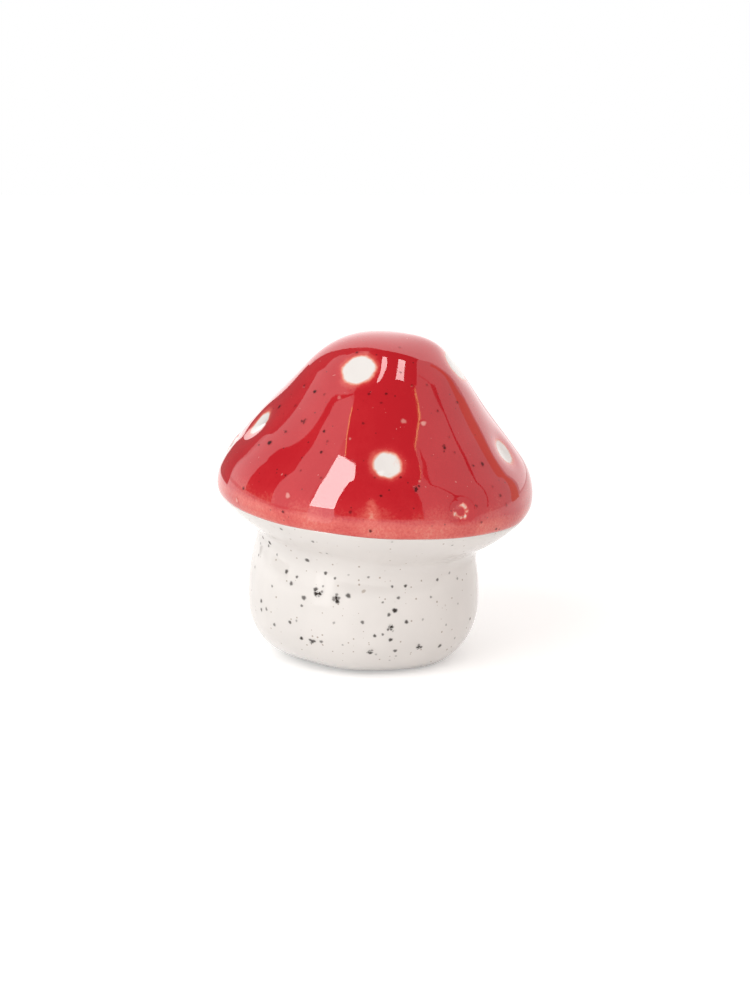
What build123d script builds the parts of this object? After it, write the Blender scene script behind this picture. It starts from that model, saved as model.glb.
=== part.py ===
# Glazed clay toadstool ornament: two hollow castings stuck together with slip, under a red and a white glaze
from build123d import *
from math import asin, cos, degrees, radians, sin
import os

# Overall sizes in millimetres, angles in degrees
overall_height = 55.0
cap_diameter = 52.2
stem_diameter = 38.4

# Cap outline, from the crown down to the seat, which starts inside the stem by the seat inset
crown_radius = 16.2
flank_angle = 51.5
bulge_radius = 10.6
rim_radius = 4.25
lip_slope = 48.0
seat_slope = 20.5
seat_corner_radius = 6.0
seat_inset = 8.0

# The cap was set by hand, so it leans and sits off centre
cap_tilt = 4.3
cap_shift = 0.92

# Stem outline
belly_height = 10.9
belly_radius = 31.6
foot_corner_radius = 9.4

# Clay, slip and glaze
wall = 3.0
glaze = 0.4
slip = 0.3
neck_bead_radius = 1.0
sharpest_corner = 0.2
paint_rise = 1.26

# Hole that the cap was poured through, hidden by the stem
pour_hole_radius = 6.0

# Foot
foot_ring_width = 2.7
foot_recess = 0.6
vent_hole_radius = 1.75

# Dishes pressed into the cap: name, azimuth from +X, place on the outline, dot diameter
# The place runs from 0 to 1 over the crown, 1 to 2 down the flank and 2 to 3 round the bulge
crown_dot_diameter = 5.9
flank_dot_diameter = 4.8
rim_dot_diameter = 4.1
glazed_over_dot_diameter = 2.0
dish_depth = 0.7
dish_margin = 1.5
white_dots = [
    ("crown_dot_front", 246.0, 0.84, crown_dot_diameter),
    ("crown_dot_right", 355.0, 0.88, crown_dot_diameter),
    ("crown_dot_back", 66.0, 0.88, crown_dot_diameter),
    ("crown_dot_left", 152.0, 0.92, crown_dot_diameter),
    ("flank_dot_front", 273.0, 1.80, flank_dot_diameter),
    ("flank_dot_right", 343.5, 1.80, flank_dot_diameter),
    ("flank_dot_back_right", 42.0, 1.76, flank_dot_diameter),
    ("flank_dot_back", 110.0, 1.81, flank_dot_diameter),
    ("flank_dot_left", 192.5, 1.70, flank_dot_diameter),
    ("rim_dot_left", 177.0, 2.22, rim_dot_diameter),
    ("rim_dot_back", 76.0, 2.43, rim_dot_diameter),
]
glazed_over_dish = (302.0, 2.64, glazed_over_dot_diameter)

cap_radius = cap_diameter / 2
stem_radius = stem_diameter / 2

# Cap sizes that follow from its arcs, each tangent to the next
flank_sin = sin(radians(flank_angle))
flank_cos = cos(radians(flank_angle))
lip_sin = sin(radians(lip_slope))
lip_cos = cos(radians(lip_slope))
seat_sin = sin(radians(seat_slope))
seat_cos = cos(radians(seat_slope))
flank_length = (cap_radius - crown_radius * flank_sin - bulge_radius * (1 - flank_sin)) / flank_cos
underside_run = cap_radius - rim_radius * (1 - lip_sin) - (stem_radius - seat_inset)
underside_radius = underside_run / (lip_sin - seat_sin)
underside_rise = underside_radius * (seat_cos - lip_cos) + seat_corner_radius * (1 - seat_cos)
widest_height = underside_rise + rim_radius * lip_cos
crown_drop = crown_radius * (1 - flank_cos) + flank_length * flank_sin + bulge_radius * flank_cos
cap_height = widest_height + crown_drop

# The cap stands on its own leaning plane, with its seat at that plane's origin
crown_center_height = cap_height - crown_radius
seat_height = overall_height - crown_radius - crown_center_height * cos(radians(cap_tilt))
cap_lean = (sin(radians(cap_tilt)), 0, cos(radians(cap_tilt)))
cap_plane = Plane(origin=(cap_shift, 0, seat_height), x_dir=(cap_lean[2], 0, -cap_lean[0]), z_dir=cap_lean)
cap_section = Plane(origin=cap_plane.origin, x_dir=cap_plane.x_dir, z_dir=-cap_plane.y_dir)
cap_axis = Axis(cap_plane.origin, cap_plane.z_dir)
paint_plane = cap_plane.offset(underside_rise + paint_rise)

# Stem sizes that follow from its arcs
foot_turn = degrees(asin((belly_height - foot_corner_radius) / (belly_radius - foot_corner_radius)))
foot_radius = stem_radius - belly_radius + (belly_radius - foot_corner_radius) * cos(radians(foot_turn))
stem_top = seat_height + underside_rise


def set_in(radius, inset):
    # Radius of an outward bend moved in by the inset, never sharper than slip can fill
    return max(radius - inset, sharpest_corner)


def cap_form(inset):
    # Solid cap with its whole surface moved in by the inset
    with BuildPart() as form:
        with BuildSketch(cap_section):
            with BuildLine():
                crown = JernArc((0, cap_height - inset), (1, 0), set_in(crown_radius, inset), -flank_angle)
                flank = PolarLine(crown @ 1, flank_length, -flank_angle)
                bulge = JernArc(flank @ 1, flank % 1, set_in(bulge_radius, inset), flank_angle - 90)
                rim = JernArc(bulge @ 1, bulge % 1, set_in(rim_radius, inset), lip_slope - 90)
                underside = JernArc(rim @ 1, rim % 1, set_in(underside_radius, inset), seat_slope - lip_slope)
                corner = JernArc(underside @ 1, underside % 1, set_in(seat_corner_radius, inset), -seat_slope)
                Polyline(corner @ 1, (0, (corner @ 1).Y), crown @ 0)
            make_face()
        revolve(axis=cap_axis)
    return form.part


def stem_form(inset):
    # Solid stem with its side and base moved in by the inset, running up into the cap
    top_turn = degrees(asin((stem_top - belly_height) / (belly_radius - inset)))
    with BuildPart() as form:
        with BuildSketch(Plane.XZ):
            with BuildLine():
                base = Line((0, inset), (foot_radius, inset))
                corner = JernArc(base @ 1, base % 1, set_in(foot_corner_radius, inset), 90 - foot_turn)
                belly = JernArc(corner @ 1, corner % 1, set_in(belly_radius, inset), foot_turn + top_turn)
                Polyline(belly @ 1, (0, (belly @ 1).Y), base @ 0)
            make_face()
        revolve(axis=Axis.Z)
    return form.part


def whole_form(inset):
    # Cap and stem as one solid, with the slip bead as a fillet round the neck
    cap = cap_form(inset)
    stem = stem_form(inset)
    with BuildPart() as form:
        add(cap)
        add(stem)
        fillet(form.edges(Select.NEW), neck_bead_radius + inset)
    return form.part


def dish_plane(azimuth, place):
    # Plane on the cap's surface, square to it, at a place on the outline
    turn = radians(flank_angle) * min(place, 1)
    slide = flank_length * min(max(place - 1, 0), 1)
    lean = turn + radians(90 - flank_angle) * max(place - 2, 0)
    radius = crown_radius * sin(turn) + slide * flank_cos
    height = crown_center_height + crown_radius * cos(turn) - slide * flank_sin
    radius += bulge_radius * (sin(lean) - sin(turn))
    height += bulge_radius * (cos(lean) - cos(turn))
    around = radians(azimuth)
    point = Vector(radius * cos(around), radius * sin(around), height)
    outward = Vector(sin(lean) * cos(around), sin(lean) * sin(around), cos(lean))
    origin = cap_plane.from_local_coords(point)
    return Plane(origin=origin, z_dir=cap_plane.from_local_coords(point + outward) - origin)


def dish_radius(diameter):
    # Radius of the ball that presses a dish a little wider than its dot
    reach = diameter / 2 + dish_margin
    return (reach**2 + dish_depth**2) / (2 * dish_depth)


def dished(form, inset):
    # The form with every dish pressed into it, each set in by the inset
    dishes = [dot[1:] for dot in white_dots] + [glazed_over_dish]
    with BuildPart() as pressed:
        add(form)
        for azimuth, place, diameter in dishes:
            ball_radius = dish_radius(diameter)
            with Locations(dish_plane(azimuth, place).offset(ball_radius - dish_depth)):
                Sphere(ball_radius + inset, mode=Mode.SUBTRACT)
    return pressed.part


os.makedirs("parts", exist_ok=True)

# Solids shared by the pieces: clay forms, the stem cut to the cap, and the coat of glaze
cap_clay = cap_form(glaze)
cap_hollow = cap_form(glaze + wall)
cope = cap_form(glaze - slip)
stem_clay = stem_form(glaze)
stem_hollow = stem_form(glaze + wall)
clay_body = whole_form(glaze)
cap_dished = dished(cap_clay, glaze)
body_dished = dished(clay_body, glaze)
glazed_body = dished(whole_form(0), 0)

with BuildPart() as coped_stem:
    add(stem_clay)
    add(cope, mode=Mode.SUBTRACT)

with BuildPart() as red_side:
    add(glazed_body)
    add(body_dished, mode=Mode.SUBTRACT)
    split(bisect_by=paint_plane, keep=Keep.TOP)

# Hollow cap, open through the pour hole in its floor
with BuildPart() as cap_casting:
    add(cap_dished)
    add(cap_hollow, mode=Mode.SUBTRACT)
    with BuildSketch(cap_plane):
        Circle(pour_hole_radius)
    extrude(amount=glaze + 2 * wall, mode=Mode.SUBTRACT)
cap_casting.part.label = "cap_casting"
export_step(cap_casting.part, "parts/cap_casting.step")

# Open stem, its rim cut to the underside of the cap, on a bare foot ring
with BuildPart() as stem_casting:
    add(coped_stem.part)
    add(stem_hollow, mode=Mode.SUBTRACT)
    with BuildSketch(Plane.XY):
        Circle(foot_radius)
    extrude(amount=glaze + wall / 2)
    with BuildSketch(Plane.XY):
        Circle(foot_radius - foot_ring_width)
    extrude(amount=foot_recess, mode=Mode.SUBTRACT)
    with BuildSketch(Plane.XY):
        Circle(vent_hole_radius)
    extrude(amount=glaze + 2 * wall, mode=Mode.SUBTRACT)
stem_casting.part.label = "stem_casting"
export_step(stem_casting.part, "parts/stem_casting.step")

# Slip between the rim of the stem and the cap, squeezed out into a bead round the neck
with BuildPart() as slip_joint:
    add(clay_body)
    add(cap_clay, mode=Mode.SUBTRACT)
    add(coped_stem.part, mode=Mode.SUBTRACT)
    add(stem_hollow, mode=Mode.SUBTRACT)
slip_joint.part.label = "slip_joint"
export_step(slip_joint.part, "parts/slip_joint.step")

# White glaze below the paint line, wiped off the foot
with BuildPart() as white_glaze:
    add(glazed_body)
    add(body_dished, mode=Mode.SUBTRACT)
    split(bisect_by=paint_plane, keep=Keep.BOTTOM)
    with BuildSketch(Plane.XY):
        Circle(foot_radius)
    extrude(amount=wall, mode=Mode.SUBTRACT)
white_glaze.part.label = "white_glaze"
export_step(white_glaze.part, "parts/white_glaze.step")

# Red glaze above the paint line, left open at each white dot
dot_reach = 2 * (dish_depth + 2 * glaze)
with BuildPart() as red_glaze:
    add(red_side.part)
    for name, azimuth, place, diameter in white_dots:
        with Locations(dish_plane(azimuth, place)):
            Cylinder(diameter / 2, dot_reach, mode=Mode.SUBTRACT)
red_glaze.part.label = "red_glaze"
export_step(red_glaze.part, "parts/red_glaze.step")

# White dots, each a disc of glaze in its dish
for name, azimuth, place, diameter in white_dots:
    with BuildPart() as white_dot:
        add(red_side.part)
        with Locations(dish_plane(azimuth, place)):
            Cylinder(diameter / 2, dot_reach, mode=Mode.INTERSECT)
    white_dot.part.label = name
    export_step(white_dot.part, f"parts/{name}.step")
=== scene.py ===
import math

import bpy
import numpy as np
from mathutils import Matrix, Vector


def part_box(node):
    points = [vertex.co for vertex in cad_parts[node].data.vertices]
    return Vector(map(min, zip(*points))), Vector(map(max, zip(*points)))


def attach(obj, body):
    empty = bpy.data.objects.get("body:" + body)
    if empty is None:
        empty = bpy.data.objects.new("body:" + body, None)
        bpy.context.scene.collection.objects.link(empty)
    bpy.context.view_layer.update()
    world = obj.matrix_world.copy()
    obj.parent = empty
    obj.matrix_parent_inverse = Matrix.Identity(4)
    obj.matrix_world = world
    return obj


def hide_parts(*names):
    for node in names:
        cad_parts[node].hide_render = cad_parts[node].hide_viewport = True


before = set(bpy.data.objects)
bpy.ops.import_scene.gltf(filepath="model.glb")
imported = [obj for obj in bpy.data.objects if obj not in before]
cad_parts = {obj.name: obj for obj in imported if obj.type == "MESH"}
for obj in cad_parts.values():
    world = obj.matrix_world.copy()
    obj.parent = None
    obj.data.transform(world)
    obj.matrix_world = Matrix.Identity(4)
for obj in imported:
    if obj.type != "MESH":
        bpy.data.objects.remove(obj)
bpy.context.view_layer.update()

mm = 0.001
tiny = 1e-9  # keeps a division from failing
rng = np.random.default_rng(11)


def nodeBox(node):
    # lowest and highest corner of a CAD node in millimetres
    return [np.array(corner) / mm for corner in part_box(node)]


# the camera stands where the photograph was taken from, all in millimetres and photograph pixels
view = dict(distance=645.1, elevation=14.2, lookHeight=26.8, centreX=364.4, centreY=496.9,
            pixelsPerMm=6.009, frameWidth=750, frameHeight=1000, sensor=36.0)
viewTilt = math.radians(view["elevation"])
viewRight = np.array([1.0, 0.0, 0.0])
viewUp = np.array([0.0, math.sin(viewTilt), math.cos(viewTilt)])
viewBack = np.array([0.0, -math.cos(viewTilt), math.sin(viewTilt)])
lookPoint = np.array([0.0, 0.0, view["lookHeight"]])
viewPoint = lookPoint + view["distance"] * viewBack


def toPhoto(points):
    # pixel = centre + scale * (right, up) * distance / depth
    offset = points - lookPoint
    scale = view["pixelsPerMm"] * view["distance"] / (view["distance"] - offset @ viewBack)
    return view["centreX"] + offset @ viewRight * scale, view["centreY"] - offset @ viewUp * scale


def aimMatrix(back, point):
    # stands a thing upright at a point, looking away from the unit vector back
    right = np.cross([0.0, 0.0, 1.0], back)
    right /= np.linalg.norm(right)
    matrix = np.eye(4)
    matrix[:3, :3] = np.stack([right, np.cross(back, right), back], axis=1)
    matrix[:3, 3] = point * mm
    return matrix.T.tolist()


def fullTurn(count):
    # evenly spaced angles once round
    return np.linspace(0, 2 * math.pi, count, endpoint=False)


def placeCamera():
    cameraData = bpy.data.cameras.new("camera")
    camera = bpy.data.objects.new("camera", cameraData)
    bpy.context.scene.collection.objects.link(camera)
    aimRight = (view["frameWidth"] / 2 - view["centreX"]) / view["pixelsPerMm"]
    aimUp = (view["centreY"] - view["frameHeight"] / 2) / view["pixelsPerMm"]
    back = viewPoint - (lookPoint + aimRight * viewRight + aimUp * viewUp)
    camera.matrix_world = aimMatrix(back / np.linalg.norm(back), viewPoint)
    cameraData.sensor_width = view["sensor"]
    cameraData.lens = view["sensor"] * view["pixelsPerMm"] * view["distance"] / view["frameHeight"]
    bpy.context.scene.camera = camera


placeCamera()
print("camera placed")


# cap: a chain of tangent stretches from the crown to the underside, on an axis that leans to the right
capShape = dict(crownRadius=16.2, flankAngle=51.5, bulgeRadius=10.6, rimRadius=4.25, lipAngle=132.0,
                undersideRadius=35.1, undersideEnd=159.5, seatCorner=6.0, lean=4.3, crownOffset=2.65,
                paintAngle=117.6, pourHole=6.0)
redLow, redHigh = nodeBox("red_glaze")
capRadius = (redHigh[1] - redLow[1]) / 2
capLean = math.radians(capShape["lean"])
capX = np.array([math.cos(capLean), 0.0, -math.sin(capLean)])
capY = np.array([0.0, 1.0, 0.0])
capZ = np.array([math.sin(capLean), 0.0, math.cos(capLean)])
crownCentre = np.array([capShape["crownOffset"], 0.0, redHigh[2] - capShape["crownRadius"]])

flank = math.radians(capShape["flankAngle"])
lip = math.radians(capShape["lipAngle"])
crownRun = capShape["crownRadius"] * flank
flankReach = capRadius - capShape["crownRadius"] * math.sin(flank)
flankRun = (flankReach - capShape["bulgeRadius"] * (1 - math.sin(flank))) / math.cos(flank)
bulgeRun = capShape["bulgeRadius"] * (math.pi / 2 - flank)
rimRun = capShape["rimRadius"] * (lip - math.pi / 2)
undersideEnd = math.radians(capShape["undersideEnd"])
undersideRun = capShape["undersideRadius"] * (undersideEnd - lip)
seatRun = capShape["seatCorner"] * (math.pi - undersideEnd)
widestRun = crownRun + flankRun + bulgeRun
lipRun = widestRun + rimRun
capStretches = [(crownRun, 1 / capShape["crownRadius"]), (flankRun, 0.0), (bulgeRun, 1 / capShape["bulgeRadius"]),
                (rimRun, 1 / capShape["rimRadius"]), (undersideRun, 1 / capShape["undersideRadius"]),
                (seatRun, 1 / capShape["seatCorner"]), (capRadius, 0.0)]


def capOutline(run):
    # an arc adds (sin after - sin before) / bend outwards and the same of cos upwards, a straight adds its step
    rest = np.asarray(run, dtype=float)
    out = np.zeros_like(rest)
    up = np.full_like(rest, capShape["crownRadius"])
    lean = np.zeros_like(rest)
    for length, bend in capStretches:
        step = np.clip(rest, 0, length)
        after = lean + bend * step
        if bend:
            out = out + (np.sin(after) - np.sin(lean)) / bend
            up = up + (np.cos(after) - np.cos(lean)) / bend
        else:
            out = out + step * np.cos(lean)
            up = up - step * np.sin(lean)
        lean = after
        rest = rest - length
    return out, up, lean


outlineSteps = 4000
runTable = np.linspace(0, lipRun + undersideRun, outlineSteps)
upTable = capOutline(runTable)[1]
seatOut = capOutline(np.array(lipRun + undersideRun + seatRun))[0]
holeRun = lipRun + undersideRun + seatRun + seatOut - capShape["pourHole"]


def capPlace(point):
    # azimuth and run of a point on the cap, from its height along the leaning axis
    offset = np.asarray(point) - crownCentre
    around = np.arctan2(offset @ capY, offset @ capX)
    return around, np.interp(-(offset @ capZ), -upTable, runTable)


# the white dots stand in shallow dishes, where the CAD nodes are
dotShape = dict(crown=5.9, flank=4.8, rim=4.1, dishDepth=0.62, dishReach=0.82)
dotNodes = sorted(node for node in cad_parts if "_dot_" in node)
dotCentres = {node: sum(nodeBox(node)) / 2 for node in dotNodes}
dotRadii = {node: dotShape[node.split("_")[0]] / 2 for node in dotNodes}
glazedOver = dict(azimuth=302.0, angle=76.2, depth=0.5, reach=1.2, ring=1.25, ringWidth=0.5)
glazedOverRun = widestRun - capShape["bulgeRadius"] * (math.pi / 2 - math.radians(glazedOver["angle"]))

# slow unevenness of the hand-finished cap: waves round the axis, and bells by azimuth, run, height and reach
capUneven = dict(waves=[(3, 0.7, 0.0, 0.03), (5, 2.1, 0.10, 0.03), (9, 0.4, 0.2, 0.012)],
                 bells=[(0, 0.0, -0.22, 6.0), (0, 7.5, 0.50, 4.5), (0, 12.5, 0.42, 5.5), (350, 24.0, -0.12, 6.5),
                        (0, 32.0, 0.26, 7.0), (350, 45.5, -0.50, 4.5), (180, 11.0, 0.20, 6.0),
                        (180, 24.0, 0.16, 5.0), (180, 31.5, -0.08, 5.0), (180, 38.0, 0.22, 7.0),
                        (180, 44.5, 0.45, 4.0), (255, 27.0, 0.35, 8.0), (212, 29.0, 0.40, 6.0),
                        (200, 53.0, -0.90, 5.5), (214, 56.0, -1.15, 6.0), (326, 56.0, -1.10, 6.5)])


def capFoot(around, run):
    # smooth point of the cap and its normal: crown centre + outline turned about the leaning axis
    out, up, lean = capOutline(run)
    sideways = np.cos(around)[..., None] * capX + np.sin(around)[..., None] * capY
    point = crownCentre + out[..., None] * sideways + up[..., None] * capZ
    return point, np.sin(lean)[..., None] * sideways + np.cos(lean)[..., None] * capZ


glazedOverCentre = capFoot(np.radians(glazedOver["azimuth"]), np.array(glazedOverRun))[0]
dishes = [(dotCentres[node], dotShape["dishDepth"], dotShape["dishReach"] * dotRadii[node]) for node in dotNodes]
dishes.append((glazedOverCentre, glazedOver["depth"], glazedOver["reach"]))


def capSurface(around, run, lift=0.0):
    # smooth point + normal * (lift + waves + bells - dishes), each bell or dish falling off with distance
    point, normal = capFoot(around, run)
    swell = np.zeros(np.broadcast(around, run).shape) + lift
    grow = np.clip(run / crownRun, 0, 1) ** 2
    for count, phase, slant, height in capUneven["waves"]:
        swell = swell + height * grow * np.sin(count * around + slant * run + phase)
    for azimuth, place, height, reach in capUneven["bells"]:
        centre = capFoot(np.radians(azimuth), np.array(place))[0]
        swell = swell + height * np.exp(-np.sum((point - centre) ** 2, axis=-1) / reach**2)
    for centre, depth, reach in dishes:
        swell = swell - depth * np.exp(-np.sum((point - centre) ** 2, axis=-1) / (2 * reach**2))
    return point + swell[..., None] * normal


paintShape = dict(wobble=[(2, 0.9, 0.16), (5, 2.2, 0.07), (11, 0.3, 0.04)])


def paintRun(around):
    # where the red ends on the rim: a fixed angle round it, and slow waves along the line
    edge = widestRun + capShape["rimRadius"] * (math.radians(capShape["paintAngle"]) - math.pi / 2)
    for count, phase, height in paintShape["wobble"]:
        edge = edge + height * np.sin(count * around + phase)
    return edge


# stem: a foot corner and a belly, both arcs, and a soft fillet of slip under the cap
stemShape = dict(bellyHeight=10.9, bellyRadius=31.6, footCorner=9.4, footGap=0.06, footBlend=0.12, footSwing=1.5,
                 waves=[(1, -1.6, 0.20), (2, 0.6, 0.05), (3, 2.4, 0.04), (5, 1.1, 0.03)],
                 footBells=[(328, 30, 0.75), (226, 25, -0.56)], neckTaper=0.5, neckFillet=2.2, neckBroad=1.4,
                 neckFrom=262.0, neckSteepest=0.75, neckHalvings=40)
castingLow, castingHigh = nodeBox("stem_casting")
glazeCoat = 0.4
stemRadius = (castingHigh[0] - castingLow[0]) / 2 + glazeCoat
bellyRadius = stemShape["bellyRadius"]
footCorner = stemShape["footCorner"]
footTurn = math.asin((stemShape["bellyHeight"] - footCorner) / (bellyRadius - footCorner))
footRadius = stemRadius - bellyRadius + (bellyRadius - footCorner) * math.cos(footTurn)


def stemFoot(turn):
    # two arcs, centre + radius * (cos, sin) of the angle that the normal makes with the level
    onFoot = turn < -footTurn
    radius = np.where(onFoot, footCorner, bellyRadius)
    out = np.where(onFoot, footRadius, stemRadius - bellyRadius) + radius * np.cos(turn)
    up = np.where(onFoot, footCorner, stemShape["bellyHeight"]) + radius * np.sin(turn)
    return out, up


def stemSurface(around, turn, lift=0.0):
    # outline turned about the upright axis + normal * (lift + waves + foot bells - neck taper), clear of the floor
    out, up = stemFoot(turn)
    swell = np.zeros(np.broadcast(around, turn).shape) + lift
    for count, phase, height in stemShape["waves"]:
        swell = swell + height * np.cos(turn) ** 2 * np.sin(count * around + phase)
    for azimuth, width, height in stemShape["footBells"]:
        gap = (np.degrees(around) - azimuth + 180) % 360 - 180
        swing = np.sin(stemShape["footSwing"] * np.clip(-turn, 0, None)) ** 2
        swell = swell + height * swing * np.exp(-((gap / width) ** 2))
    swell = swell - stemShape["neckTaper"] * np.sin(np.clip(turn, 0, None)) ** 2
    sideways = np.stack([np.cos(around), np.sin(around), np.zeros_like(around)], axis=-1)
    reach = out + swell * np.cos(turn)
    least = stemShape["footGap"] - lift * np.clip((turn + math.pi / 2) / stemShape["footBlend"], 0, 1)
    height = np.maximum(up + swell * np.sin(turn), least)
    return reach[..., None] * sideways + height[..., None] * np.array([0.0, 0.0, 1.0])


def neckPlace(around):
    # where the stem meets the cap, by halving: angle on the belly, and azimuth and run on the cap
    low = np.zeros_like(around)
    high = np.full_like(around, math.asin(stemShape["neckSteepest"]))
    for halving in range(stemShape["neckHalvings"]):
        turn = (low + high) / 2
        point = stemSurface(around, turn)
        capAround, capRun = capPlace(point)
        outside = np.sum((point - capSurface(capAround, capRun)) * capFoot(capAround, capRun)[1], axis=-1) > 0
        low = np.where(outside, turn, low)
        high = np.where(outside, high, turn)
    return turn, capAround, capRun


def whiteGrid(rows, columns):
    # each column runs down the underside, round the fillet as a quadratic curve, and down the stem to the foot
    undersideRows, filletRows, stemRows = rows
    around = fullTurn(columns)
    turn, capAround, capRun = neckPlace(around)
    corner = stemSurface(around, turn)
    facing = np.clip(np.cos(around - math.radians(stemShape["neckFrom"])), 0, 1)
    size = stemShape["neckFillet"] + stemShape["neckBroad"] * facing**2
    startRun = capRun - size
    endTurn = turn - size / bellyRadius
    share = np.linspace(0, 1, undersideRows)[:, None]
    begin = paintRun(capAround)
    underside = capSurface(capAround + 0 * share, begin + (startRun - begin) * share)
    bow = np.linspace(0, 1, filletRows + 2)[1:-1, None, None]
    last = stemSurface(around, endTurn)
    fillet = (1 - bow) ** 2 * underside[-1] + 2 * bow * (1 - bow) * corner + bow**2 * last
    share = np.linspace(0, 1, stemRows)[:, None]
    stem = stemSurface(around + 0 * share, endTurn + (-math.pi / 2 - endTurn) * share)
    return np.concatenate([underside, fillet, stem])


def putMesh(name, points, faces, shade=None):
    # a mesh in metres from points in millimetres, smooth, with an optional value for each point
    mesh = bpy.data.meshes.new(name)
    mesh.from_pydata((points.reshape(-1, 3) * mm).tolist(), [], faces)
    mesh.polygons.foreach_set("use_smooth", np.ones(len(mesh.polygons), dtype=bool))
    if shade is not None:
        mesh.attributes.new("speck", "FLOAT", "POINT").data.foreach_set("value", shade.ravel().astype(np.float32))
    mesh.update()
    piece = bpy.data.objects.new(name, mesh)
    bpy.context.scene.collection.objects.link(piece)
    return piece


def ringFaces(rows, columns, first=0, looped=False):
    # quads that join each point to the one below and the one beside it, closed all round, and looped last to first
    index = first + np.arange(rows * columns).reshape(rows, columns)
    if looped:
        index = np.concatenate([index, index[:1]])
    beside = np.roll(index, -1, axis=1)
    quads = np.stack([index[:-1], index[1:], beside[1:], beside[:-1]], axis=-1)
    return quads.reshape(-1, 4).tolist()


def capFan(columns, first=1, pole=0):
    # triangles from a single pole to the first ring
    ring = first + np.arange(columns)
    return np.stack([np.full(columns, pole), ring, np.roll(ring, -1)], axis=-1).tolist()


def thicken(piece, thickness):
    # gives a skin its inner side and its edge
    wall = piece.modifiers.new("wall", "SOLIDIFY")
    wall.thickness = thickness * mm
    wall.offset = -1.0
    return piece


def gridNormals(grid):
    # cross product of the steps down and beside each point of a closed grid
    down = np.gradient(grid, axis=0)
    beside = np.roll(grid, -1, axis=1) - np.roll(grid, 1, axis=1)
    normal = np.cross(down, beside)
    return normal / np.maximum(np.linalg.norm(normal, axis=-1, keepdims=True), tiny)


def underPixels(grid, normals, seen):
    # for each seen spot, the grid point facing the camera that lies nearest to its pixel
    across, down = toPhoto(grid.reshape(-1, 3))
    facing = np.sum(normals.reshape(-1, 3) * (viewPoint - grid.reshape(-1, 3)), axis=-1) > 0
    away = np.hypot(across - seen[:, :1], down - seen[:, 1:2])
    return np.argmin(np.where(facing, away, np.inf), axis=1)


# red coat from the crown to the paint line, white coat from there under the cap and down to the foot
redCoat = dict(rows=122, columns=380, thickness=0.3)
whiteCoat = dict(rows=(26, 12, 80), columns=360, thickness=0.3)
share = np.linspace(0, 1, redCoat["rows"] + 1)[1:, None]
redAround = fullTurn(redCoat["columns"])
redGrid = capSurface(redAround + 0 * share, paintRun(redAround) * share)
whitePoints = whiteGrid(whiteCoat["rows"], whiteCoat["columns"])


# materials, all made of nodes
def addNode(tree, kind, **settings):
    node = tree.nodes.new(kind)
    for name, value in settings.items():
        setattr(node, name, value)
    return node


def feed(tree, socket, source):
    # links a socket to another, or sets it to a value
    if hasattr(source, "is_linked"):
        tree.links.new(source, socket)
    else:
        socket.default_value = source


def calc(tree, operation, first, second=0.0):
    node = addNode(tree, "ShaderNodeMath", operation=operation)
    feed(tree, node.inputs[0], first)
    feed(tree, node.inputs[1], second)
    return node.outputs[0]


def ease(tree, value, start, end, low=0.0, high=1.0):
    # smooth step from low at start to high at end
    node = addNode(tree, "ShaderNodeMapRange", interpolation_type="SMOOTHSTEP")
    for socket, number in zip(node.inputs[:5], (value, start, end, low, high)):
        feed(tree, socket, number)
    return node.outputs[0]


def easeMm(tree, distance, start, end, low=0.0, high=1.0):
    # the same over a distance, with its start and end in millimetres
    return ease(tree, distance, start * mm, end * mm, low, high)


def blendColour(tree, share, first, second):
    # mixes two colours, each a socket or three parts
    node = addNode(tree, "ShaderNodeMix", data_type="RGBA")
    feed(tree, node.inputs[0], share)
    for socket, colour in zip(node.inputs[6:8], (first, second)):
        feed(tree, socket, (*colour, 1.0) if isinstance(colour, tuple) else colour)
    return node.outputs[2]


def noise(tree, place, size, detail=2.0, roughness=0.5):
    # cloudy values whose grain is about size millimetres
    node = addNode(tree, "ShaderNodeTexNoise")
    feed(tree, node.inputs["Vector"], place)
    node.inputs["Scale"].default_value = 1 / (size * mm)
    node.inputs["Detail"].default_value = detail
    node.inputs["Roughness"].default_value = roughness
    return node


def shifted(tree, place, size, reach):
    # coordinates pushed about by a noise of that size, so that round outlines become uneven
    wander = noise(tree, place, size)
    centred = addNode(tree, "ShaderNodeVectorMath", operation="SUBTRACT")
    tree.links.new(wander.outputs["Color"], centred.inputs[0])
    centred.inputs[1].default_value = (0.5, 0.5, 0.5)
    push = addNode(tree, "ShaderNodeVectorMath", operation="MULTIPLY_ADD")
    tree.links.new(centred.outputs[0], push.inputs[0])
    push.inputs[1].default_value = (2 * reach * mm,) * 3
    tree.links.new(place, push.inputs[2])
    return push.outputs[0]


def pepper(tree, place, spacing, largest, share, soft=0.4):
    # round grains: a cell of the spacing holds one if its random value is in the share, and its size varies
    cells = addNode(tree, "ShaderNodeTexVoronoi")
    feed(tree, cells.inputs["Vector"], place)
    cells.inputs["Scale"].default_value = 1 / (spacing * mm)
    random = addNode(tree, "ShaderNodeSeparateColor")
    tree.links.new(cells.outputs["Color"], random.inputs[0])
    size = ease(tree, random.outputs[0], 1 - share, 1.0, 0.0, largest / spacing)
    inside = calc(tree, "SUBTRACT", size, cells.outputs["Distance"])
    return ease(tree, inside, 0.0, soft * largest / spacing)


def sprinkle(tree, colour, grains, strength, tint):
    # lays a tint over the colour where the grains are
    return blendColour(tree, calc(tree, "MULTIPLY", grains, strength), colour, tint)


def clouded(tree, place, colour, size, detail, start, end, dim):
    # a colour with slow clouds of a dimmer one
    cloud = noise(tree, place, size, detail).outputs[0]
    return blendColour(tree, ease(tree, cloud, start, end), colour, tuple(dim * part for part in colour))


def newMaterial(name):
    material = bpy.data.materials.new(name)
    material.use_nodes = True
    tree = material.node_tree
    shader = tree.nodes["Principled BSDF"]
    place = addNode(tree, "ShaderNodeTexCoord").outputs["Object"]
    return material, tree, shader, place


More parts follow.
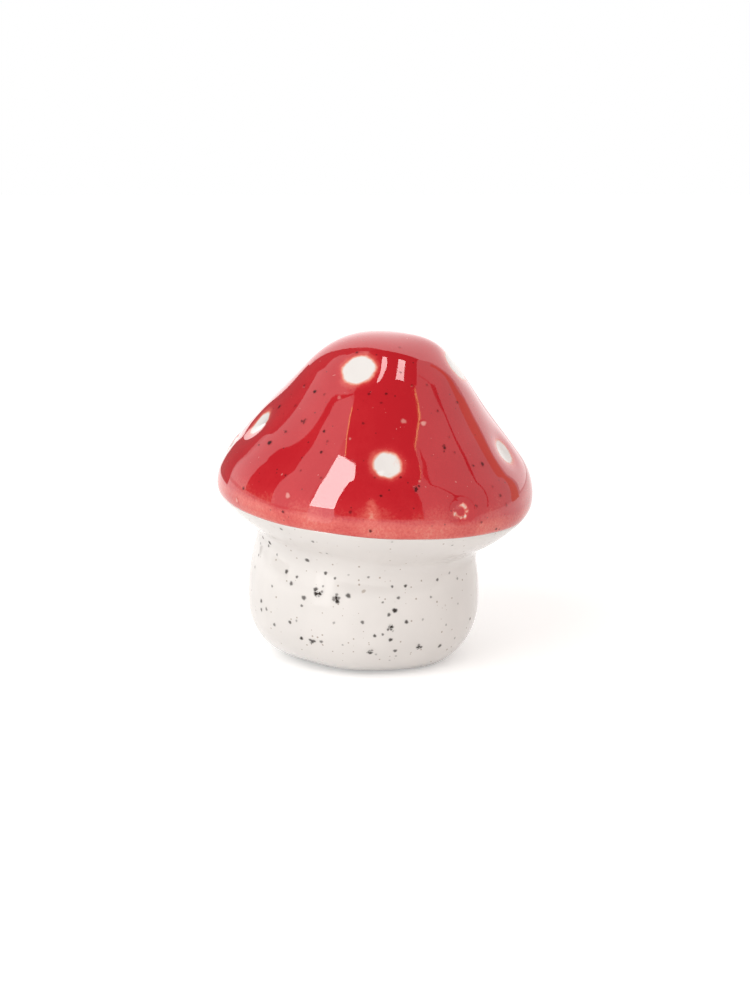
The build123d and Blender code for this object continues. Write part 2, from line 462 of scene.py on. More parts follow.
def ramp(tree, value, stops):
    node = addNode(tree, "ShaderNodeValToRGB")
    feed(tree, node.inputs[0], value)
    elements = node.color_ramp.elements
    while len(elements) < len(stops):
        elements.new(1.0)
    for element, (position, colour) in zip(elements, stops):
        element.position = position
        element.color = (*colour, 1.0)
    return node.outputs[0]


def dress(tree, shader, place, colour, roughness, bumpSize, bumpDetail, bumpDepth):
    # gives the shader its colour, its roughness and a slight unevenness
    tree.links.new(colour, shader.inputs["Base Color"])
    shader.inputs["Roughness"].default_value = roughness
    bump = addNode(tree, "ShaderNodeBump")
    bump.inputs["Strength"].default_value = 1.0
    bump.inputs["Distance"].default_value = bumpDepth * mm
    tree.links.new(noise(tree, place, bumpSize, bumpDetail).outputs[0], bump.inputs["Height"])
    tree.links.new(bump.outputs[0], shader.inputs["Normal"])


# halo, blush, band and fade go from a start to an end in millimetres and from a low to a high thickness of glaze
glazeLooks = dict(deep=(0.52, 0.016, 0.024), red=(0.56, 0.024, 0.031), coral=(0.725, 0.132, 0.106),
                  peach=(0.80, 0.38, 0.29), white=(0.805, 0.777, 0.755), body=(0.80, 0.768, 0.742),
                  stops=[(0.0, "white"), (0.26, "peach"), (0.55, "coral"), (0.82, "red"), (1.0, "deep")],
                  halo=(-0.55, 0.65), blush=(-0.2, 1.7, 0.68, 1.0), band=(1.9, 4.8, 0.65, 1.1),
                  fade=(3.0, 8.5, 0.83, 1.0), grainFrom=1.3, grainDepth=0.62,
                  darkSpeck=(0.05, 0.042, 0.038), brownSpeck=(0.36, 0.28, 0.22), redSpeck=(0.10, 0.010, 0.012),
                  capSpeck=(0.04, 0.007, 0.008), paleFleck=(0.78, 0.36, 0.32), speckDull=0.34,
                  dotGloss=1.2, gloss=1.52, stemGloss=1.47)
# bare spots in the band: pixel across, pixel down and reach in millimetres
thinSpots = np.array([(373.5, 504, 1.3), (373, 511, 1.5), (372, 517, 1.8)])
thinPlaces = redGrid.reshape(-1, 3)[underPixels(redGrid, gridNormals(redGrid), thinSpots)]


def distanceTo(tree, place, centre):
    # distance in metres from a fixed point
    away = addNode(tree, "ShaderNodeVectorMath", operation="DISTANCE")
    tree.links.new(place, away.inputs[0])
    away.inputs[1].default_value = tuple(np.asarray(centre) * mm)
    return away.outputs["Value"]


def dotDistance(tree, place):
    # distance in metres to the edge of the nearest dot, less than nothing inside it
    nearest = None
    for node in dotNodes:
        edge = calc(tree, "SUBTRACT", distanceTo(tree, place, dotCentres[node]), dotRadii[node] * mm)
        nearest = edge if nearest is None else calc(tree, "MINIMUM", nearest, edge)
    return nearest


def speckColour(tree, colour, dark, pale):
    # the grains carry a value for each point: above nothing they darken the glaze, below nothing they lighten it
    grain = addNode(tree, "ShaderNodeAttribute", attribute_name="speck").outputs["Fac"]
    darker = ease(tree, grain, start=0.04, end=0.95)
    lighter = ease(tree, calc(tree, "MULTIPLY", grain, -1.0), start=0.1, end=1.3)
    colour = blendColour(tree, darker, colour, dark)
    return blendColour(tree, lighter, colour, pale), calc(tree, "MULTIPLY", darker, glazeLooks["speckDull"])


def redGlaze():
    # deep red where the glaze is thick, thinner and coral by the paint line, and peach to white at the dots
    material, tree, shader, place = newMaterial("redGlaze")
    uneven = shifted(tree, place, size=1.5, reach=0.36)
    edge = dotDistance(tree, uneven)
    halo = easeMm(tree, edge, *glazeLooks["halo"])
    blush = easeMm(tree, edge, *glazeLooks["blush"])
    paintHeight = crownCentre @ capZ + float(capOutline(np.array(float(paintRun(0.0))))[1])
    along = addNode(tree, "ShaderNodeVectorMath", operation="DOT_PRODUCT")
    tree.links.new(shifted(tree, place, size=3.0, reach=0.5), along.inputs[0])
    along.inputs[1].default_value = tuple(capZ)
    above = calc(tree, "SUBTRACT", along.outputs["Value"], paintHeight * mm)
    band = calc(tree, "MINIMUM", easeMm(tree, above, *glazeLooks["band"]), easeMm(tree, above, *glazeLooks["fade"]))
    runny = ease(tree, noise(tree, place, size=7.0, detail=3.0).outputs[0], start=0.30, end=0.72, low=-0.12, high=0.06)
    thick = calc(tree, "ADD", calc(tree, "MINIMUM", calc(tree, "MINIMUM", halo, blush), band), runny)
    grain = calc(tree, "SUBTRACT", noise(tree, place, size=0.45, detail=2.0, roughness=0.7).outputs[0], 0.5)
    granular = calc(tree, "MULTIPLY", grain, calc(tree, "SUBTRACT", glazeLooks["grainFrom"], band))
    thick = calc(tree, "ADD", thick, calc(tree, "MULTIPLY", granular, glazeLooks["grainDepth"]))
    mottle = ease(tree, noise(tree, place, size=0.7).outputs[0], start=0.34, end=0.66, low=0.15, high=0.32)
    bare = 0.0
    for centre, reach in zip(thinPlaces, thinSpots[:, 2]):
        spot = easeMm(tree, distanceTo(tree, uneven, centre), start=0.0, end=reach, low=1.0, high=0.0)
        bare = calc(tree, "MAXIMUM", bare, spot)
    thick = calc(tree, "SUBTRACT", thick, calc(tree, "MULTIPLY", bare, mottle))
    # a pale patchy ring round the glazed-over dish: glaze thinning at its edge, and in part painted highlight standing
    # for the crescents of light in the dish
    ring = calc(tree, "SUBTRACT", distanceTo(tree, uneven, glazedOverCentre), glazedOver["ring"] * mm)
    patchy = ease(tree, noise(tree, place, size=1.3).outputs[0], start=0.40, end=0.56, low=0.0, high=0.80)
    pale = easeMm(tree, calc(tree, "ABSOLUTE", ring), start=0.0, end=glazedOver["ringWidth"], low=1.0, high=0.0)
    thick = calc(tree, "SUBTRACT", thick, calc(tree, "MULTIPLY", pale, patchy))
    colour = ramp(tree, thick, [(stop, glazeLooks[name]) for stop, name in glazeLooks["stops"]])
    fine = pepper(tree, place, spacing=1.0, largest=0.2, share=0.45)
    strength = easeMm(tree, edge, start=0.0, end=1.0, low=0.1, high=0.65)
    colour = sprinkle(tree, colour, fine, strength, glazeLooks["redSpeck"])
    fleck = pepper(tree, shifted(tree, place, size=9.0, reach=4.0), spacing=0.9, largest=0.13, share=0.25)
    colour = sprinkle(tree, colour, fleck, strength=0.5, tint=glazeLooks["paleFleck"])
    colour, dull = speckColour(tree, colour, glazeLooks["capSpeck"], glazeLooks["paleFleck"])
    dress(tree, shader, place, colour, roughness=0.03, bumpSize=6.0, bumpDetail=1.0, bumpDepth=0.02)
    gloss = ease(tree, halo, start=0.1, end=0.9, low=glazeLooks["dotGloss"], high=glazeLooks["gloss"])
    tree.links.new(calc(tree, "SUBTRACT", gloss, dull), shader.inputs["IOR"])
    return material


def whiteGlaze():
    # a pale body with slow clouds, fine and coarse brown grains, and the specks
    material, tree, shader, place = newMaterial("whiteGlaze")
    colour = clouded(tree, place, glazeLooks["body"], size=9.0, detail=3.0, start=0.35, end=0.7, dim=0.955)
    fine = pepper(tree, place, spacing=0.85, largest=0.22, share=0.45)
    colour = sprinkle(tree, colour, fine, strength=0.75, tint=glazeLooks["brownSpeck"])
    coarse = pepper(tree, shifted(tree, place, size=1.0, reach=0.3), spacing=3.4, largest=0.42, share=0.40)
    colour = sprinkle(tree, colour, coarse, strength=0.6, tint=glazeLooks["brownSpeck"])
    colour, dull = speckColour(tree, colour, glazeLooks["darkSpeck"], glazeLooks["white"])
    dress(tree, shader, place, colour, roughness=0.05, bumpSize=5.0, bumpDetail=1.0, bumpDepth=0.04)
    tree.links.new(calc(tree, "SUBTRACT", glazeLooks["stemGloss"], dull), shader.inputs["IOR"])
    return material


def clay(name, colour, coarse):
    # a matt body with clouds and grit, its unevenness as coarse as the number in millimetres
    material, tree, shader, place = newMaterial(name)
    body = clouded(tree, place, colour, size=3.0, detail=4.0, start=0.3, end=0.7, dim=0.86)
    grit = pepper(tree, place, spacing=1.4, largest=0.22, share=0.4)
    body = sprinkle(tree, body, grit, strength=0.6, tint=glazeLooks["brownSpeck"])
    dress(tree, shader, place, body, roughness=0.82, bumpSize=coarse, bumpDetail=3.0, bumpDepth=0.06)
    return material


redGlazeMaterial = redGlaze()
whiteGlazeMaterial = whiteGlaze()
clayMaterial = clay("firedClay", colour=(0.76, 0.69, 0.60), coarse=0.4)
slipMaterial = clay("slip", colour=(0.79, 0.73, 0.65), coarse=0.25)
print("materials made")


def finishPiece(piece, material, slotName, *nodes):
    piece.data.materials.clear()
    piece.data.materials.append(material)
    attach(piece, "root")
    if nodes:
        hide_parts(*nodes)


crown = capSurface(np.zeros(1), np.zeros(1))
redPoints = np.concatenate([crown, redGrid.reshape(-1, 3)])
redFaces = capFan(redCoat["columns"]) + ringFaces(redCoat["rows"], redCoat["columns"], 1)
redPiece = thicken(putMesh("redCoat", redPoints, redFaces), redCoat["thickness"])
finishPiece(redPiece, redGlazeMaterial, "red_glaze", "red_glaze")
print("red coat made")

whitePiece = putMesh("whiteCoat", whitePoints, ringFaces(sum(whiteCoat["rows"]), whiteCoat["columns"]))
finishPiece(thicken(whitePiece, whiteCoat["thickness"]), whiteGlazeMaterial, "white_glaze", "white_glaze")
print("white coat made")

# white dots, each a thin lens of glaze in its dish
dotPad = dict(rings=14, sectors=56, margin=0.75, rise=0.045, sink=0.012, thickness=0.12)


def padPoints(node):
    # a disc laid on the cap: run and azimuth move by radius * (sin, cos), and it rises a little to its middle
    around, run = capPlace(dotCentres[node])
    reach = dotRadii[node] + dotPad["margin"]
    spread = np.linspace(0, 1, dotPad["rings"] + 1)[1:, None]
    angle = fullTurn(dotPad["sectors"])
    down = run - reach * spread * np.sin(angle)
    across = around + reach * spread * np.cos(angle) / capOutline(down)[0]
    lift = dotPad["rise"] * (1 - spread**2) - dotPad["sink"]
    middle = capSurface(np.array([around]), np.array([run]), dotPad["rise"] - dotPad["sink"])
    return np.concatenate([middle, capSurface(across, down, lift + 0 * angle).reshape(-1, 3)])


padFaces = capFan(dotPad["sectors"]) + ringFaces(dotPad["rings"], dotPad["sectors"], 1)
for node in dotNodes:
    first, second, *rest = node.split("_")
    pad = putMesh(first + second.title() + "".join(word.title() for word in rest), padPoints(node), padFaces)
    finishPiece(thicken(pad, dotPad["thickness"]), redGlazeMaterial, "dot_glaze", node)
print("white dots made:", len(dotNodes))

# iron specks seen in the photograph: pixel across, pixel down and size in millimetres, pale ones with a minus
capSpecks = [
    (304, 422, 0.95), (270, 443, 0.85), (315, 392, 0.65), (304, 386, 0.55), (325, 394, 0.5), (295, 406, 0.5),
    (286, 431, 0.55), (324, 431, 0.5), (327, 442, 0.5), (321, 453, 0.5), (445, 447, 0.95), (455, 453, 0.45),
    (457, 402, 0.5), (483, 464, 0.75), (473, 465, 0.45), (417, 488, 1.05), (363, 424, 0.5), (382, 402, 0.45),
    (386, 393, 0.45), (357, 352, 0.45), (369, 394, 0.5), (285, 475, 0.45), (243, 489, 0.55), (283, 512, 0.45),
    (350, 512, 0.6), (400, 347, 0.4), (412, 386, 0.4), (280, 406, 0.7), (507, 505, 0.5), (476, 507, 0.5),
    (501, 496, 0.6), (300, 471, 0.4), (259, 444, 0.4), (437, 411, 0.4), (450, 438, 0.4), (493, 487, 0.4),
    (482, 522, 0.45), (496, 529, 0.45), (382, 495, 0.45), (375, 478, 0.4), (400, 477, 0.4), (371, 531, 0.5),
    (322, 477, 0.4), (401, 373, 0.35), (427, 385, 0.4), (339, 398, -0.6), (287, 496, -0.85), (404, 421, -0.9),
    (423, 423, -0.9), (351, 439, -0.45), (237, 500, -0.7), (420, 481, -0.5),
]
stemSpecks = [
    (316, 593, 1.5), (304, 598, 0.8), (336, 600, 1.35), (349, 594, 0.8), (301, 606, 0.5), (322, 587, 0.4),
    (286, 572, 0.7), (308, 560, 0.8), (297, 578, 0.5), (291, 583, 0.7), (326, 572, 0.6), (270, 542, 0.85),
    (269, 546, 0.6), (263, 537, 0.65), (260, 544, 0.5), (258, 556, 0.45), (255, 567, 0.5), (272, 585, 0.45),
    (261, 601, 0.65), (262, 608, 0.55), (265, 610, 0.6), (274, 625, 0.65), (302, 638, 0.65), (313, 641, 1.1),
    (322, 642, 0.6), (290, 624, 0.6), (297, 619, 0.45), (390, 626, 1.15), (394, 611, 0.8), (388, 616, 0.6),
    (392, 631, 0.4), (391, 640, 0.65), (375, 636, 0.55), (383, 635, 0.45), (371, 653, 0.95), (375, 654, 0.45),
    (407, 622, 0.65), (418, 647, 1.1), (439, 646, 0.7), (422, 619, 0.45), (395, 651, 0.65), (396, 656, 0.4),
    (390, 660, 0.4), (392, 586, 0.45), (405, 586, 0.55), (399, 599, 0.55), (382, 601, 0.4), (438, 580, 0.55),
    (431, 597, 0.45), (449, 573, 0.5), (456, 577, 0.5), (452, 546, 0.4), (282, 529, 0.55), (312, 542, 0.6),
    (391, 542, 0.4), (327, 554, 0.45), (458, 605, 0.4), (470, 619, 0.5), (454, 638, 0.45), (446, 625, 0.4),
    (363, 624, 0.6), (334, 623, 0.45), (343, 645, 0.35), (368, 577, 0.45), (349, 576, 0.4), (334, 578, 0.45),
    (277, 554, 0.45),
]
# large specks are a core and a cluster of crumbs, and the side away from the camera has its own at random
grainShape = dict(rings=5, sectors=16, width=0.75, lift=0.02, follow=36.0, solid=1.7,
                  waves=[(2, 0.085), (3, 0.085), (5, 0.0595)], unseen=70, unseenFrom=4.0, clusterFrom=0.9, cluster=5,
                  clusterCore=0.72, clusterReach=0.27, crumbs=(0.28, 0.58), tone=0.24, toneBySize=0.72, toneVary=0.16,
                  toneLimits=(0.32, 1.0))


def grainPiece(name, grid, seen, material, slotName):
    # each grain is a ragged disc in the tangent plane: point + radius * (cos, sin) of its two sides, slightly domed
    seen = np.array(seen)
    normals = gridNormals(grid)
    flat = grid.reshape(-1, 3)
    hidden = rng.choice(np.flatnonzero(flat[:, 1] > grainShape["unseenFrom"]), grainShape["unseen"], replace=False)
    spots = np.concatenate([underPixels(grid, normals, seen), hidden])
    sizes = np.concatenate([seen[:, 2], rng.choice(np.abs(seen[:, 2]), len(hidden))])
    large = np.repeat(np.flatnonzero(sizes > grainShape["clusterFrom"]), grainShape["cluster"])
    crumbMoves = rng.normal(0, grainShape["clusterReach"], (len(large), 2)) * sizes[large, None]
    loose = np.concatenate([np.zeros((len(spots), 2)), crumbMoves])
    spots = np.concatenate([spots, spots[large]])
    crumbSizes = sizes[large] * rng.uniform(*grainShape["crumbs"], len(large))
    cores = np.where(sizes > grainShape["clusterFrom"], grainShape["clusterCore"], 1.0)
    sizes = np.concatenate([cores * sizes, crumbSizes])
    tones = grainShape["tone"] + grainShape["toneBySize"] * np.abs(sizes)
    tones = tones + rng.uniform(-grainShape["toneVary"], grainShape["toneVary"], len(sizes))
    tones = np.clip(tones, *grainShape["toneLimits"])
    centre = flat[spots][:, None, None]
    normal = normals.reshape(-1, 3)[spots][:, None, None]
    side = np.cross(normal, [0.0, 0.0, 1.0])
    side /= np.linalg.norm(side, axis=-1, keepdims=True)
    upwards = np.cross(normal, side)
    centre = centre + loose[:, 0][:, None, None, None] * side + loose[:, 1][:, None, None, None] * upwards
    angle = fullTurn(grainShape["sectors"])
    spread = np.linspace(0, 1, grainShape["rings"] + 1)[1:, None]
    turns = rng.uniform(0, 2 * math.pi, (len(spots), len(grainShape["waves"]), 1, 1))
    ragged = 1.0
    for index, (count, height) in enumerate(grainShape["waves"]):
        ragged = ragged + height * np.sin(count * angle + turns[:, index])
    radius = grainShape["width"] * np.abs(sizes)[:, None, None] * spread * ragged
    dome = grainShape["lift"] - radius**2 / grainShape["follow"]
    rim = (centre + (radius * np.cos(angle))[..., None] * side + (radius * np.sin(angle))[..., None] * upwards
           + dome[..., None] * normal)
    middle = centre[:, 0] + grainShape["lift"] * normal[:, 0]
    points = np.concatenate([middle, rim.reshape(len(spots), -1, 3)], axis=1)
    fall = np.clip(grainShape["solid"] * (1 - spread[:, 0]), 0, 1)
    strength = (np.sign(sizes) * tones)[:, None] * np.concatenate([np.ones(1), np.repeat(fall, len(angle))])
    step = points.shape[1]
    one = [np.array(face) for face in capFan(len(angle)) + ringFaces(grainShape["rings"], len(angle), 1)]
    faces = [(face + step * count).tolist() for count in range(len(spots)) for face in one]
    piece = putMesh(name, points, faces, strength)
    finishPiece(piece, material, slotName)


# the end rows of the coats carry no specks
grainPiece("capSpecks", redGrid[3:], capSpecks, redGlazeMaterial, "red_glaze")
grainPiece("stemSpecks", whitePoints[2:-6], stemSpecks, whiteGlazeMaterial, "white_glaze")
print("specks made")

# the two hollow castings, under the glaze
clayShape = dict(columns=160, capRows=60, stemRows=50, crease=40, skin=0.37, wall=3.4, footRing=2.7, recess=0.6,
                 vent=1.75, rimDrop=0.7, innerDrop=2.4, slipSpan=(-0.4, 2.8))


def loopMesh(name, loop):
    # rows closed all round, with the last row joined to the first, and crisp edges where it turns sharply
    piece = putMesh(name, loop, ringFaces(*loop.shape[:2], looped=True))
    piece.data.set_sharp_from_angle(angle=math.radians(clayShape["crease"]))
    return piece


def capClay():
    # outer skin from the crown to the pour hole, then back up the inner side, a pole at each end
    around = fullTurn(clayShape["columns"])
    share = np.linspace(0, 1, clayShape["capRows"] + 1)[1:, None]
    outer = capSurface(around + 0 * share, holeRun * share + 0 * around, -clayShape["skin"])
    inner = capSurface(around + 0 * share, holeRun * share[::-1] + 0 * around, -clayShape["wall"])
    poles = [capSurface(np.zeros(1), np.zeros(1), -depth) for depth in (clayShape["skin"], clayShape["wall"])]
    points = np.concatenate([poles[0], outer.reshape(-1, 3), inner.reshape(-1, 3), poles[1]])
    rows, columns = 2 * len(share), len(around)
    last = 1 + (rows - 1) * columns
    cover = [face[::-1] for face in capFan(columns, last, rows * columns + 1)]
    return putMesh("capClay", points, capFan(columns) + ringFaces(rows, columns, 1) + cover)


def stemClay():
    # a closed loop of rows: down the outside, over the foot ring and its recess, up the vent hole and the inside
    around = fullTurn(clayShape["columns"])
    neck = neckPlace(around)[0]
    share = np.linspace(0, 1, clayShape["stemRows"])[:, None]
    top = neck - clayShape["rimDrop"] / bellyRadius
    inTop = neck - clayShape["innerDrop"] / bellyRadius
    outside = stemSurface(around + 0 * share, top + (-math.pi / 2 - top) * share, -clayShape["skin"])
    inside = stemSurface(around + 0 * share, -math.pi / 2 + (inTop + math.pi / 2) * share, -clayShape["wall"])
    ring = footRadius - clayShape["footRing"]
    steps = [(footRadius, 0.0), (ring, 0.0), (ring, clayShape["recess"]), (clayShape["vent"], clayShape["recess"]),
             (clayShape["vent"], clayShape["wall"])]
    steps = np.array(steps)[:, None]
    circles = np.stack([steps[..., 0] * np.cos(around), steps[..., 0] * np.sin(around), steps[..., 1] + 0 * around],
                       axis=-1)
    return loopMesh("stemClay", np.concatenate([outside, circles, inside]))


def slipRing():
    # a closed loop of four rows, from the cap's skin to the rim of the stem and back
    around = fullTurn(clayShape["columns"])
    turn, capAround, capRun = neckPlace(around)
    outer = stemSurface(around, turn - clayShape["rimDrop"] / bellyRadius, -clayShape["skin"])
    inner = stemSurface(around, turn - clayShape["innerDrop"] / bellyRadius, -clayShape["wall"])
    under = [capSurface(capAround, capRun + step, -clayShape["skin"]) for step in clayShape["slipSpan"]]
    return loopMesh("slipRing", np.stack([under[0], outer, inner, under[1]]))


finishPiece(capClay(), clayMaterial, "fired_clay", "cap_casting")
finishPiece(stemClay(), clayMaterial, "fired_clay", "stem_casting")
finishPiece(slipRing(), slipMaterial, "slip", "slip_joint")
print("clay and slip made")


# stage: a pale floor, white all round, a soft lamp on the left, a low fill at the front, and cards for the gloss
def skyDirection(azimuth, height):
    # unit vector, azimuth in degrees to the right of the camera and height above the level
    azimuth, height = np.radians(azimuth), np.radians(height)
    return np.stack([np.cos(height) * np.sin(azimuth), -np.cos(height) * np.cos(azimuth), np.sin(height)], axis=-1)


stageShape = dict(floorSize=900.0, floorColour=0.94, floorFade=(60.0, 200.0), floorGlow=0.30, floorFar=0.7,
                  ambientLeft=(0.76, 0.76, 0.75), ambientRight=(0.71, 0.64, 0.605), ambientAcross=(-0.4, 0.8),
                  ambientTop=(0.80, 0.765, 0.745), ambientUp=(0.25, 0.95), clearance=0.3)
lamps = dict(
    key=dict(azimuth=-44, height=38, distance=800, width=620, length=620, glow=1.80, tint=(1.0, 1.0, 0.985)),
    frontFill=dict(azimuth=-14, height=8, distance=800, width=700, length=220, glow=1.25, tint=(1.0, 0.985, 0.97)),
)


def addLamp(name, azimuth, height, distance, width, length, glow, tint):
    lamp = bpy.data.lights.new(name, "AREA")
    lamp.shape = "RECTANGLE"
    lamp.size = width * mm
    lamp.size_y = length * mm
    lamp.energy = glow * math.pi * lamp.size * lamp.size_y
    lamp.color = tint
    holder = bpy.data.objects.new(name, lamp)
    bpy.context.scene.collection.objects.link(holder)
    back = skyDirection(azimuth, height)
    holder.matrix_world = aimMatrix(back, lookPoint + distance * back)
    holder.visible_camera = False
    holder.visible_glossy = False  # what the gloss shows is on the cards


for name, settings in lamps.items():
    addLamp(name, **settings)


def stageMaterial(name, colour, glow, tint=(1.0, 1.0, 1.0)):
    # a matt surface that also glows, with the glow given as a number or made by a function of the node tree
    material = bpy.data.materials.new(name)
    material.use_nodes = True
    tree = material.node_tree
    tree.nodes.clear()
    matt = addNode(tree, "ShaderNodeBsdfDiffuse")
    matt.inputs["Color"].default_value = (colour, colour, colour, 1.0)
    shine = addNode(tree, "ShaderNodeEmission")
    shine.inputs["Color"].default_value = (*tint, 1.0)
    feed(tree, shine.inputs["Strength"], glow(tree) if callable(glow) else glow)
    both = addNode(tree, "ShaderNodeAddShader")
    tree.links.new(matt.outputs[0], both.inputs[0])
    tree.links.new(shine.outputs[0], both.inputs[1])
    output = addNode(tree, "ShaderNodeOutputMaterial")
    tree.links.new(both.outputs[0], output.inputs["Surface"])
    return material


def seenRays(tree):
    # 1 for what the camera and the gloss show, and 0 for what only lights the object
    rays = addNode(tree, "ShaderNodeLightPath")
    return calc(tree, "MAXIMUM", rays.outputs["Is Camera Ray"], rays.outputs["Is Glossy Ray"])


def floorGlow(tree):
    # as it is seen, the floor fades to white with its distance from the object, and keeps the shadow near it
    place = addNode(tree, "ShaderNodeTexCoord").outputs["Object"]
    away = distanceTo(tree, place, (0.0, 0.0, 0.0))
    fade = easeMm(tree, away, *stageShape["floorFade"], stageShape["floorGlow"], stageShape["floorFar"])
    return calc(tree, "MULTIPLY", seenRays(tree), fade)


def openFaces(rows, columns):
    # quads of a grid with open edges
    index = np.arange(rows * columns).reshape(rows, columns)
    return np.stack([index[:-1, :-1], index[1:, :-1], index[1:, 1:], index[:-1, 1:]], axis=-1).reshape(-1, 4).tolist()


floorSide = np.array([-0.5, 0.5]) * stageShape["floorSize"]
floorX, floorY = np.meshgrid(floorSide, floorSide)
floorPiece = putMesh("floor", np.stack([floorX, floorY, 0 * floorX], axis=-1), [(0, 1, 3, 2)])
floorPiece.data.materials.append(stageMaterial("floor", stageShape["floorColour"], floorGlow))

# cards seen only in the gloss, nearest first, as rows of an angle and the two limits between which the card spans
# upright cards have rows of height and azimuths, the others of an arch from the front over the top and side angles
cardShape = dict(rows=49, columns=25, distance=480.0, apart=5.0)
dark = 0.03
warm = (1.0, 0.85, 0.3)
brown = (1.0, 0.55, 0.36)
cards = dict(
    window=dict(upright=True, glow=13.0, rows=[
        (8.6, -46.6, -27.6), (14, -46, -26.8), (22.5, -45, -25.6), (33.5, -45.6, -23.6), (45.5, -47.3, -21.2),
        (54.5, -50, -18.3), (57.5, -47, -13), (58.8, -46, -9.5), (59.4, -36, -8),
    ]),
    stemPatch=dict(upright=True, glow=2.6, rows=[(-14, -44, -29), (-3, -48, -27.5), (9, -46.6, -27.6)]),
    topLeft=dict(upright=False, glow=9.0, rows=[
        (75.5, -9.5, -7), (78, -10.2, -5.3), (82, -10.6, -3.6), (89, -9.4, -0.3), (95, -6.5, 0.6),
        (100.5, -3.4, 1.5),
    ]),
    topRight=dict(upright=False, glow=9.0, rows=[(73, 15.5, 25.2), (88, 15.2, 23.2), (102.8, 14.8, 21.2)]),
    leftEdge=dict(upright=False, glow=7.0, tint=warm, rows=[
        (64.2, -16.3, -15.8), (66.7, -17.2, -16.7), (72.8, -19.2, -18.7), (75.7, -20.6, -20.1),
    ]),
    rightEdge=dict(upright=False, glow=6.0, tint=warm, rows=[
        (65, 27.75, 27.85), (66.5, 29.2, 29.4), (69.2, 31.65, 31.95), (71, 33.3, 33.65), (72.8, 35.1, 35.45),
        (73.4, 35.7, 35.9),
    ]),
    front=dict(upright=False, glow=dark, rows=[
        (0, -43, 35.5), (9, -40, 35.2), (30, -31, 33.8), (46.6, -21, 30), (58, -15.5, 25.3), (62, -15.5, 25),
        (64.2, -15.8, 27), (67, -16.8, 29.7), (69.3, -17.7, 31.5), (70.9, -18.2, 33.4), (73, -18.8, 35.5),
        (75.5, -20.1, 37.3), (84.8, -20.8, 35.4), (88, -19, 34.6), (98, -14.5, 31.9), (108.4, -9.5, 28.5),
        (113, -4, 28),
    ]),
    leftGap=dict(upright=True, glow=dark, rows=[
        (0, -107.5, -80), (21, -104.5, -79.6), (37, -106.5, -81), (42, -102.5, -83), (45, -98, -84),
        (48, -94.5, -85.5), (51, -93.5, -84.5), (54, -91.5, -87), (58, -88.5, -83.5), (63, -82, -77),
        (68, -75, -70.5),
    ]),
    leftStripe=dict(upright=True, glow=0.18, rows=[
        (-6.5, -155.4, -131.5), (-1, -158, -132), (1.2, -161, -132), (6.7, -156.5, -132.5), (11.7, -153.8, -133),
        (16.8, -147.5, -133), (23, -147, -136), (26.5, -147, -133), (31, -147, -127.5), (34, -147, -124),
        (40.4, -147.5, -122.5), (44.5, -148, -127.5), (48, -149, -132), (52, -150.5, -134), (57.4, -151.3, -133),
        (60, -152.5, -130), (62.6, -156, -128), (63.8, -161.7, -128), (65.1, -167.7, -130), (67, -178, -138),
        (71, -180, -145),
    ]),
    rightLine=dict(upright=True, glow=dark, rows=[
        (3, 86.5, 87.7), (8.7, 88.6, 89.8), (20, 92.2, 93.4), (30.7, 95.8, 97), (34.9, 97.4, 98.8),
        (36.9, 95.5, 96.7), (38.1, 95, 96.2), (38.9, 94.6, 95.8), (42.6, 88.8, 90), (54.1, 88.9, 90.1),
    ]),
    rightCurve=dict(upright=True, glow=dark, rows=[
        (6, 66.8, 68), (10.1, 67.1, 68.4), (30, 66.9, 68.2), (45.3, 64.7, 66.1), (50.3, 60, 61.5),
        (52.2, 56, 57.8),
    ]),
    rightStrip=dict(upright=True, glow=1.05, tint=brown, rows=[
        (-4, 116, 127), (0, 116.3, 127.2), (10, 119.5, 128), (17.4, 121.5, 127), (20, 121.5, 127.6),
        (22, 119, 124.8), (24.5, 117, 124.4), (27, 116, 124.6), (30, 118.5, 124), (38, 118.7, 122.2),
        (45, 118.3, 121.9),
    ]),
    back=dict(upright=False, glow=2.0, rows=[
        (112.2, 11, 16), (112.7, 3, 28.5), (113.9, -3.2, 30.5), (121.5, -15.9, 37.8), (123.9, -18, 39.6),
        (133, -24, 44), (150, -28, 46.6), (155.8, -28.7, 47.4), (182, -31, 50),
    ]),
    leftPanel=dict(upright=True, glow=1.4, rows=[(0, -131, -48), (66, -131, -48)]),
)


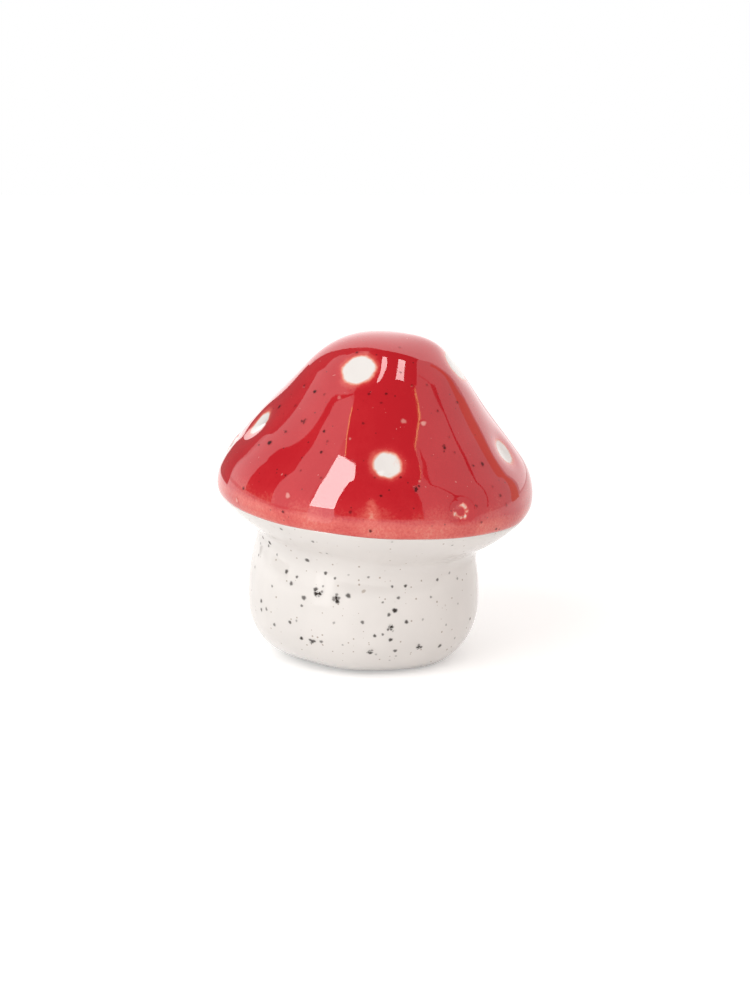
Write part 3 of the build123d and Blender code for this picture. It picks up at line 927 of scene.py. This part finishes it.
def archDirection(side, arch):
    # (sin side, -cos side * cos arch, cos side * sin arch), the arch rising from the front level over the top
    side, arch = np.radians(side), np.radians(arch)
    return np.stack([np.sin(side), -np.cos(side) * np.cos(arch), np.cos(side) * np.sin(arch)], axis=-1)


def addCard(name, distance, upright, glow, rows, tint=(1.0, 1.0, 1.0)):
    # sphere patch whose limits change evenly from row to row, drawn in where it would pass under the floor
    rows = np.array(rows, dtype=float)
    places = np.linspace(0, len(rows) - 1, cardShape["rows"])
    angle = np.interp(places, np.arange(len(rows)), rows[:, 0])[:, None]
    low, high = (np.interp(angle, rows[:, 0], limit) for limit in rows[:, 1:].T)
    span = low + (high - low) * np.linspace(0, 1, cardShape["columns"])
    grid = skyDirection(span, angle + 0 * span) if upright else archDirection(span, angle + 0 * span)
    drop = np.maximum(-grid[..., 2:], tiny)
    reach = np.minimum(distance, (view["lookHeight"] - stageShape["clearance"]) / drop)
    card = putMesh(name + "Card", reach * grid + lookPoint, openFaces(cardShape["rows"], cardShape["columns"]))
    card.data.materials.append(stageMaterial(name + "Card", 0.0, glow, tint))
    for rays in ("camera", "diffuse", "shadow", "transmission"):
        setattr(card, "visible_" + rays, False)


for count, (name, settings) in enumerate(cards.items()):
    addCard(name, cardShape["distance"] + cardShape["apart"] * count, **settings)


def surroundings():
    # white for what the camera and the gloss see, and a plain level, warmer on the right and brighter above, as light
    world = bpy.data.worlds.new("studio")
    bpy.context.scene.world = world
    world.use_nodes = True
    tree = world.node_tree
    towards = addNode(tree, "ShaderNodeSeparateXYZ")
    tree.links.new(addNode(tree, "ShaderNodeTexCoord").outputs["Generated"], towards.inputs[0])
    across = ease(tree, towards.outputs["X"], *stageShape["ambientAcross"])
    light = blendColour(tree, across, stageShape["ambientLeft"], stageShape["ambientRight"])
    above = ease(tree, towards.outputs["Z"], *stageShape["ambientUp"])
    light = blendColour(tree, above, light, stageShape["ambientTop"])
    background = tree.nodes["Background"]
    tree.links.new(blendColour(tree, seenRays(tree), light, (1.0, 1.0, 1.0)), background.inputs["Color"])


surroundings()
bpy.context.scene.view_settings.view_transform = "Standard"
print("stage made")

bpy.context.view_layer.update()
